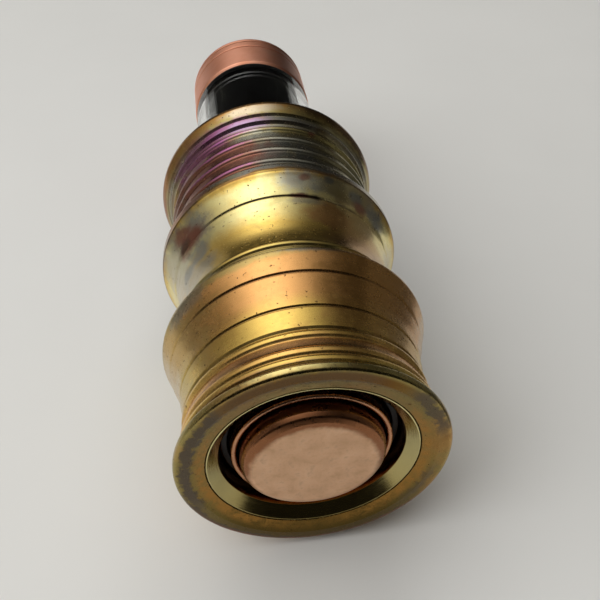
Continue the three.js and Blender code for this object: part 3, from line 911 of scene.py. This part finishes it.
def wire_mesh(name, path, radius):
    """A round wire along a list of points, with closed ends."""
    line = bpy.data.curves.new(name, "CURVE")
    line.dimensions = "3D"
    line.bevel_depth = radius * MM
    line.bevel_resolution = 2
    line.use_fill_caps = True
    spline = line.splines.new("POLY")
    spline.points.add(len(path) - 1)
    for point, (x, s, z) in zip(spline.points, path):
        point.co = (x * MM, BELL_Y + s * MM, AXIS_Z + z * MM, 1)
    holder = bpy.data.objects.new(name + "_line", line)
    bpy.context.scene.collection.objects.link(holder)
    bpy.context.view_layer.update()
    depsgraph = bpy.context.evaluated_depsgraph_get()
    mesh = bpy.data.meshes.new_from_object(holder.evaluated_get(depsgraph))
    bpy.data.objects.remove(holder)
    bpy.data.curves.remove(line)
    mesh.name = name
    mesh.materials.clear()
    mesh.shade_smooth()
    return mesh


def helix(radius, start, end, turns):
    """Points round the axis from one place to another."""
    steps = round(turns * WIRE_STEPS)
    path = []
    for i in range(steps + 1):
        angle = 2 * math.pi * turns * i / steps
        path.append(
            (radius * math.cos(angle), start + (end - start) * i / steps, radius * math.sin(angle))
        )
    return path


spring_start, spring_end = along("button_spring")
SPRING_WIRE = 0.3
spring_path = helix(5.2, spring_start + SPRING_WIRE, spring_end - SPRING_WIRE, 2.5)
spring_mesh = wire_mesh("spring_wire", spring_path, SPRING_WIRE)
spring = show("spring_wire", spring_mesh, "switch_end", steel, "steel", "button_spring")
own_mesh(spring)

pin_outline = [
    (0, 3.3),
    (1.6, 3.3, 0.2),
    (1.6, 10.5),
    (3.4, 10.5),
    (3.4, 11.3, 0.25),
    (0, 11.3),
]
turned("brass_contact_pin", pin_outline, "button", brass, "plain_brass", "contact_pin", sides=48)
turned(
    "switch_seal_ring", seal_outline(10.4, 0.25, 8.7), "switch_seal", seal_black, "seal_rubber",
    "switch_seal",
)

# ---------------------------------------------------------------- the body and its cell

turned(
    "copper_body_tube", sleeve(9.6, 11.2, *along("body_tube")), "body", copper, "copper",
    "body_tube",
)
turned(
    "cell_steel_can", rod(8.9, *along("cell_can"), 0.6, 0.6), "body", steel, "steel", "cell_can",
)
turned(
    "cell_skin", sleeve(9.05, 9.25, *along("cell_wrap"), edge=0.08), "body", wrap, "cell_wrap",
    "cell_wrap",
)
turned(
    "cell_gasket_ring", sleeve(3.4, 8.7, *along("cell_gasket")), "body", plastic,
    "black_plastic", "cell_gasket",
)
turned(
    "cell_button_top", rod(3.0, *along("cell_positive_cap"), EDGE, 0.4), "body", steel, "steel",
    "cell_positive_cap",
)
plate_outline = [
    (9.3, 49.2),
    (9.3, 52.7),
    (12.7, 52.7),
    (12.7, 55.3, 0.25),
    (3.5, 55.3, 0.3),
    (3.5, 49.2),
]
turned("connector_disc", plate_outline, "body", brass, "plain_brass", "connector_plate")
turned(
    "connector_sleeve", sleeve(1.6, 3.2, *along("connector_insulator")), "body", plastic,
    "black_plastic", "connector_insulator", sides=48,
)
centre_outline = [
    (0, 48.15),
    (2.4, 48.15, 0.2),
    (2.4, 48.8),
    (1.3, 48.8),
    (1.3, 52.9, 0.2),
    (0, 52.9),
]
turned("copper_centre_pin", centre_outline, "body", copper, "copper", "centre_pin", sides=48)

# ---------------------------------------------------------------- the atomiser

ATOMISER = 11.25  # radius of its metal pieces

base_outline = [
    (3.15, 53.3),
    (3.15, 55.7),
    (ATOMISER - 0.3, 55.7, 0.1),
    (ATOMISER, 56.1, 0.2),
    (ATOMISER, 57.6, 0.15),
    (1.9, 57.6),
    (1.9, 53.3),
]
turned("atomiser_base_disc", base_outline, "body", steel, "steel", "atomiser_base")
turned(
    "base_pin_sleeve", sleeve(1.25, 1.6, *along("base_pin_insulator")), "body", plastic,
    "black_plastic", "base_pin_insulator", sides=48,
)
turned(
    "base_pin_rod", rod(0.95, *along("base_pin"), 0.2, 0.2), "body", brass, "plain_brass",
    "base_pin", sides=32,
)


def carve(piece, boxes):
    """Cuts rounded boxes, each (size, centre) in millimetres, out of a piece."""
    for size, centre in boxes:
        mesh = bpy.data.meshes.new("cutter")
        signs = [(sx, sy, sz) for sx in (-1, 1) for sy in (-1, 1) for sz in (-1, 1)]
        corners = [Vector(sign) * Vector(size) / 2 for sign in signs]
        middle = Vector((centre[0], centre[1] + BELL_Y / MM, centre[2] + AXIS_Z / MM))
        faces = [(0, 1, 3, 2), (4, 6, 7, 5), (0, 4, 5, 1), (2, 3, 7, 6), (0, 2, 6, 4), (1, 5, 7, 3)]
        mesh.from_pydata([(c + middle) * MM for c in corners], [], faces)
        cutter = bpy.data.objects.new("cutter", mesh)
        bpy.context.scene.collection.objects.link(cutter)
        rounding = cutter.modifiers.new("rounding", "BEVEL")
        rounding.width = min(size) * 0.3 * MM
        rounding.segments = 4
        cutting = piece.modifiers.new("cutting", "BOOLEAN")
        cutting.operation = "DIFFERENCE"
        cutting.object = cutter
        bpy.context.view_layer.update()
        depsgraph = bpy.context.evaluated_depsgraph_get()
        carved = bpy.data.meshes.new_from_object(piece.evaluated_get(depsgraph))
        piece.modifiers.clear()
        solid = piece.data
        piece.data = carved
        bpy.data.meshes.remove(solid)
        bpy.data.objects.remove(cutter)
        bpy.data.meshes.remove(mesh)


air_middle = sum(along("airflow_ring")) / 2
air_slot = ((24, 1.8, 3.6), (0, air_middle, 0))
chamber_outline = [
    (9.0, 57.9),
    (9.0, 62.3),
    (ATOMISER, 62.3, 0.15),
    (ATOMISER, 64.1, 0.15),
    (1.5, 64.1),
    (1.5, 62.0),
    (5.0, 61.4),
    (5.0, 57.9),
]
chamber = turned("air_chamber_neck", chamber_outline, "body", steel, "steel", "air_chamber")
carve(chamber, [air_slot])
ring = turned(
    "air_ring", sleeve(9.3, ATOMISER, *along("airflow_ring"), edge=0.2), "airflow", steel, "steel",
    "airflow_ring",
)
carve(ring, [air_slot])

shell_start, shell_end = along("chamber_shell")
shell_outline = [
    (9.05, shell_start),
    (9.05, shell_end, 0.3),
    (2.6, shell_end),
    (2.6, shell_end - 1.0),
    (8.25, shell_end - 1.0),
    (8.25, shell_start),
]
shell = turned(
    "black_chamber_shell", shell_outline, "body", shell_black, "black_gloss", "chamber_shell",
)
carve(shell, [((24, 3.2, 2.2), (0, shell_start, 0))])

turned(
    "lower_seal_ring", seal_outline(10.15, 0.3, 64.55), "body", seal_black, "seal_rubber",
    "lower_sleeve_seal",
)
turned(
    "clear_tube_wall", sleeve(9.4, 11.1, *along("clear_sleeve"), edge=0.06), "body", glass,
    "clear_tube", "clear_sleeve", sides=128,
)
turned(
    "upper_seal_ring", sleeve(9.45, 10.75, *along("upper_sleeve_seal")), "body", seal_black,
    "seal_rubber", "upper_sleeve_seal",
)
collar_start, collar_end = along("top_collar")
collar_outline = [
    (ATOMISER - 0.35, collar_start, 0.1),
    (ATOMISER, collar_start + 0.4, 0.25),
    (ATOMISER, collar_end, 0.15),
    (9.4, collar_end),
    (9.4, collar_start),
]
turned("copper_collar", collar_outline, "body", copper, "copper", "top_collar", sides=128)

# The coil lies across the deck, so its helix is turned from the axis to the X direction.
COIL_PLACE = 70.1
coil_path = [(s, COIL_PLACE + x, z) for x, s, z in helix(1.5, -2.6, 2.6, 5)]
show("coil_wire", wire_mesh("coil_wire", coil_path, 0.22), "body", steel, "steel", "coil")

# ---------------------------------------------------------------- the cap and mouthpiece

cap_outline = [
    (9.05, 87.6),
    (9.05, 90.9),
    (ATOMISER, 90.9, 0.15),
    *groove(93.0, 0.24, ATOMISER, 0.25),
    (ATOMISER, 93.95, 0.3),
    (ATOMISER - 0.45, 94.4, 0.3),
    (4.4, 94.4, 0.25),
    (4.4, 87.6),
]
turned("copper_cap", cap_outline, "cap", copper, "copper", "top_cap", sides=128)
turned(
    "cap_seal_ring", seal_outline(7.4, 0.3, 87.1), "cap_seal", seal_black, "seal_rubber",
    "cap_seal",
)
tip_outline = [
    (4.0, 89.2, 0.2),
    (4.0, 91.2, 0.05),
    (3.65, 91.2, 0.05),
    (3.65, 92.0, 0.05),
    (4.0, 92.0, 0.05),
    (4.0, 94.7),
    (5.75, 94.7, 0.2),
    (5.75, 95.9, 0.3),
    *curve((5.6, 96.2), (5.2, 97.2), (5.0, 98.4), (5.1, 99.8), (5.3, 101.0), (5.25, 101.7)),
    (5.1, TOTAL - 0.3, 0.3),
    (4.5, TOTAL, 0.4),
    (3.5, TOTAL, 0.3),
    (3.2, TOTAL - 0.4),
    (3.2, 89.2),
]
turned(
    "black_mouthpiece", tip_outline, "mouthpiece", tip_black, "black_plastic", "mouthpiece",
    sides=64,
)
turned(
    "mouthpiece_seal_ring", seal_outline(4.02, 0.28, 91.6), "mouthpiece", seal_black,
    "seal_rubber", "mouthpiece_seal", sides=48,
)

# ---------------------------------------------------------------- the CAD nodes that stay

kept = {
    "deck": steel,
    "positive_post": steel,
    "negative_post": steel,
    "post_insulator": plastic,
    "positive_post_screw": steel,
    "negative_post_screw": steel,
    "wick": wool,
}
for node_name, material in kept.items():
    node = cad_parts[node_name]
    node.data.materials.clear()
    node.data.materials.append(material)

# ---------------------------------------------------------------- floor, light and camera


def floor_material():
    surface = Surface("floor_card", metallic=0.0)
    texture = surface.node("ShaderNodeTexCoord", {}).outputs["Object"]
    grain = surface.noise(texture, 40.0, 3.0)
    colour = surface.mix(grain, (0.70, 0.70, 0.68, 1), (0.73, 0.73, 0.71, 1))
    surface.drive("Base Color", colour)
    surface.drive("Roughness", surface.remap(grain, 0.3, 0.7, 0.7, 0.8))
    surface.shader.inputs["Specular IOR Level"].default_value = 0.2
    return surface.material


FLOOR_HALF = 3.0
floor_corners = [(FLOOR_HALF * x, FLOOR_HALF * y, 0) for x, y in ((-1, -1), (1, -1), (1, 1), (-1, 1))]
floor_mesh = bpy.data.meshes.new("floor")
floor_mesh.from_pydata(floor_corners, [], [(0, 1, 2, 3)])
floor_mesh.materials.append(floor_material())
floor = bpy.data.objects.new("floor", floor_mesh)
bpy.context.scene.collection.objects.link(floor)


PANEL_TILT = 17.0  # degrees that the panel leans towards -X
PANEL_WIDTH = 26.0
PANEL_FAR_EDGE = (30.5, 39.5)  # degrees up from +Y where the panel begins
PANEL_NEAR_EDGE = (98.0, 128.0)
PANEL_LIGHT = 1.6
PANEL_TINT = (1.0, 0.985, 0.96)
ROOM_LIGHT = 0.06
ROOM_LEFT = 0.2  # added where the room is lightest
ROOM_BEHIND_DARKER = 0.8
ROOM_AHEAD_DARKER = 0.85
ROOM_TINT = (1.0, 0.93, 0.82)


def world_light():
    """A long soft panel overhead, over a dim room that is lighter on the left than the right and
    darker far behind the camera and far beyond the object."""
    world = bpy.data.worlds.new("studio")
    world.use_nodes = True
    wiring = Wiring(world.node_tree)
    background = world.node_tree.nodes["Background"]
    direction = wiring.node("ShaderNodeTexCoord", {}).outputs["Generated"]
    x, y, z = wiring.split(direction)

    tilt = wiring.math("MULTIPLY", wiring.math("ARCTAN2", x, z), 180 / math.pi)
    beside = wiring.math("DIVIDE", wiring.math("ADD", tilt, PANEL_TILT), PANEL_WIDTH)
    across = wiring.math("EXPONENT", wiring.product(beside, beside, -1.0))
    polar = wiring.math("MULTIPLY", wiring.math("ARCCOSINE", y), 180 / math.pi)
    lengthways = wiring.product(
        wiring.remap(polar, *PANEL_FAR_EDGE), wiring.remap(polar, *PANEL_NEAR_EDGE, 1.0, 0.0)
    )
    panel = wiring.product(across, lengthways, PANEL_LIGHT)

    left = wiring.remap(x, -0.9, 0.7, 1.0, 0.0)
    behind = wiring.remap(y, -0.6, -0.1, 1.0 - ROOM_BEHIND_DARKER, 1.0)
    ahead = wiring.remap(y, 0.7, 0.88, 1.0, 1.0 - ROOM_AHEAD_DARKER)
    room = wiring.product(wiring.math("MULTIPLY_ADD", left, ROOM_LEFT, ROOM_LIGHT), behind, ahead)

    total = wiring.math("ADD", panel, room)
    panel_share = wiring.math("DIVIDE", panel, total)
    tint = wiring.mix(panel_share, (*ROOM_TINT, 1), (*PANEL_TINT, 1))
    wiring.tree.links.new(total, background.inputs["Strength"])
    wiring.tree.links.new(tint, background.inputs["Color"])
    bpy.context.scene.world = world


world_light()


def area_light(name, energy, size, place, aim):
    """A soft lamp for the floor that the polished metal doesn't show."""
    lamp = bpy.data.lights.new(name, "AREA")
    lamp.energy = energy
    lamp.shape = "DISK"
    lamp.size = size
    holder = bpy.data.objects.new(name, lamp)
    holder.location = place
    holder.rotation_euler = (Vector(aim) - Vector(place)).to_track_quat("-Z", "Y").to_euler()
    holder.visible_glossy = False
    holder.visible_transmission = False
    bpy.context.scene.collection.objects.link(holder)


def dark_card(name, line, height, shade):
    """A card that stands on the floor beside the object, seen only in the metal's reflections."""
    verts = [(x * MM, BELL_Y + s * MM, up * MM) for x, s in line for up in (0, height)]
    faces = [(2 * i, 2 * i + 2, 2 * i + 3, 2 * i + 1) for i in range(len(line) - 1)]
    mesh = bpy.data.meshes.new(name)
    mesh.from_pydata(verts, [], faces)
    surface = Surface(name, metallic=0.0, roughness=0.8)
    texture = surface.node("ShaderNodeTexCoord", {}).outputs["Object"]
    grain = surface.noise(texture, 60.0, 3.0)
    tone = surface.remap(grain, 0.3, 0.7, shade * 0.9, shade * 1.1)
    surface.drive("Base Color", tone)
    mesh.materials.append(surface.material)
    card = bpy.data.objects.new(name, mesh)
    bpy.context.scene.collection.objects.link(card)
    for ray in ("camera", "diffuse", "transmission", "volume_scatter", "shadow"):
        setattr(card, "visible_" + ray, False)


dark_card("right_card", [(38, -13), (62, 40), (86, 89), (130, 177), (200, 320)], 60, 0.15)
dark_card("left_card", [(-80, -40), (-90, 60), (-110, 200), (-140, 320)], 60, 0.7)
dark_card("front_card", [(-90, -40), (-50, -62), (0, -70), (50, -62), (90, -40)], 90, 0.004)
dark_card("back_card", [(-140, 320), (-40, 330), (80, 330), (200, 320)], 160, 0.05)
area_light("far_lamp", 1.1, 0.35, (0.2, 0.62, 0.56), (0.02, -0.04, 0))
area_light("left_lamp", 1.6, 0.5, (-0.42, -0.16, 0.3), (-0.2, -0.15, 0))

CAMERA_PLACE = (-8.50, -49.79, 72.26)  # millimetres from the bell's centre
CAMERA_DOWN = 42.5  # degrees below level
CAMERA_TURN = -7.65  # degrees from +Y, anticlockwise from above
camera_data = bpy.data.cameras.new("camera")
camera_data.sensor_width = 36.0
camera_data.lens = 44.256
camera_data.clip_start = 5 * MM
camera = bpy.data.objects.new("camera", camera_data)
camera.location = Vector((0, BELL_Y, AXIS_Z)) + Vector(CAMERA_PLACE) * MM
camera.rotation_euler = (math.radians(90 - CAMERA_DOWN), 0, math.radians(CAMERA_TURN))
bpy.context.scene.collection.objects.link(camera)
bpy.context.scene.camera = camera
bpy.context.scene.view_settings.view_transform = "Standard"
